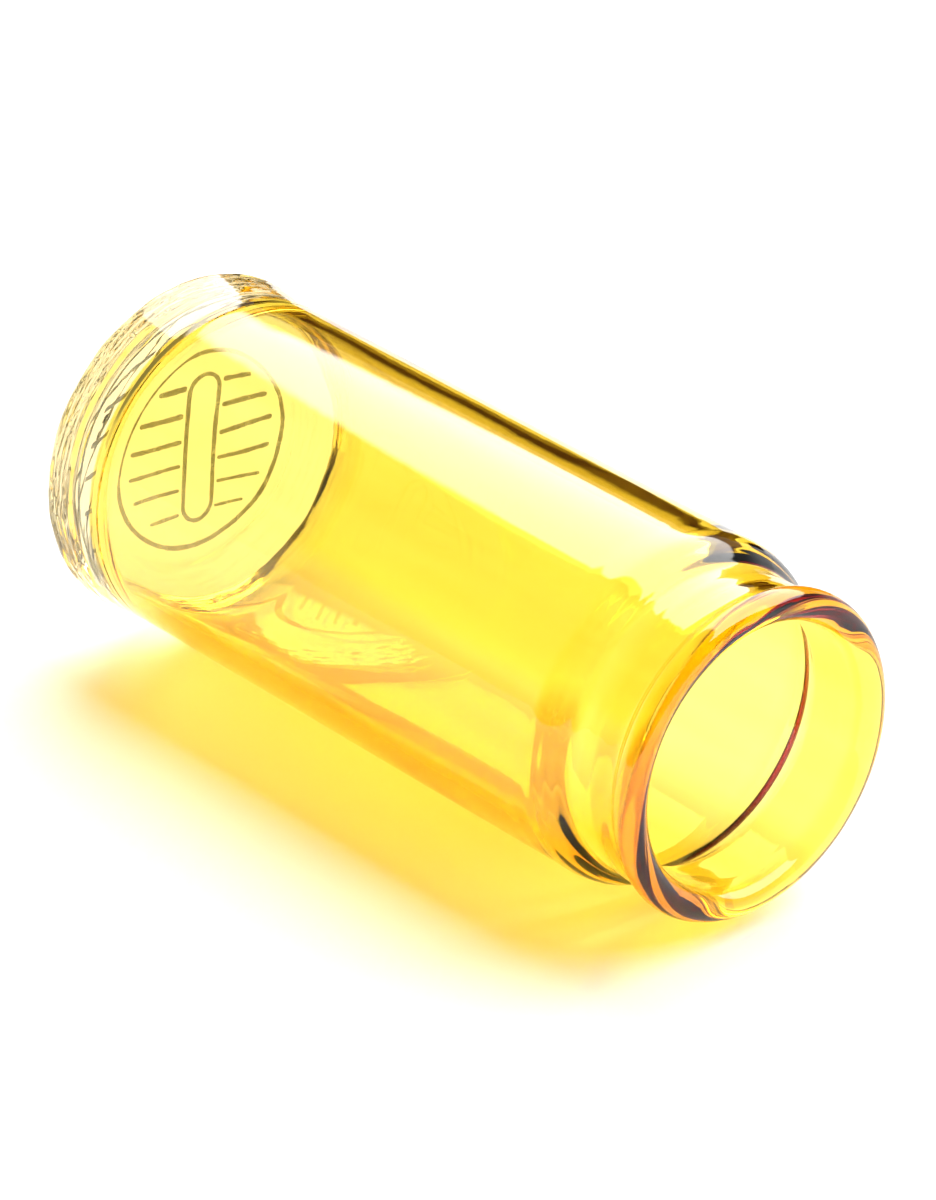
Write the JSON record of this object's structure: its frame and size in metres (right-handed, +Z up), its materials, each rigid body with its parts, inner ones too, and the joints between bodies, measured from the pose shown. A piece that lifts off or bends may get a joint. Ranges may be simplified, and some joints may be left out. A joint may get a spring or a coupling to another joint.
{
  "type": "guitar slide",
  "caption": "Bottle-style glass guitar slide: an amber tube with shoulder, neck and rounded lip on a clear closed base, worn on a finger to stop the strings.",
  "frame": {"origin": "on the surface that the slide lies on, below its axis and half way along its length", "axes": "+X along the slide's axis, out of the mouth; +Z up, away from the surface that it lies on; the closed base is at -X"},
  "size_m": [0.0693, 0.0298, 0.0298],
  "materials": {
    "amber_glass": "fire-polished, clear amber-yellow body tint",
    "clear_glass": "fire-polished, colourless, slightly rippled",
    "print": "thin fired grey print"
  },
  "bodies": {
    "root": {"glass_tube": "amber_glass", "glass_base": "clear_glass", "print_ring": "print", "print_strings": "print", "print_bar": "print"}
  },
  "joints": []
}
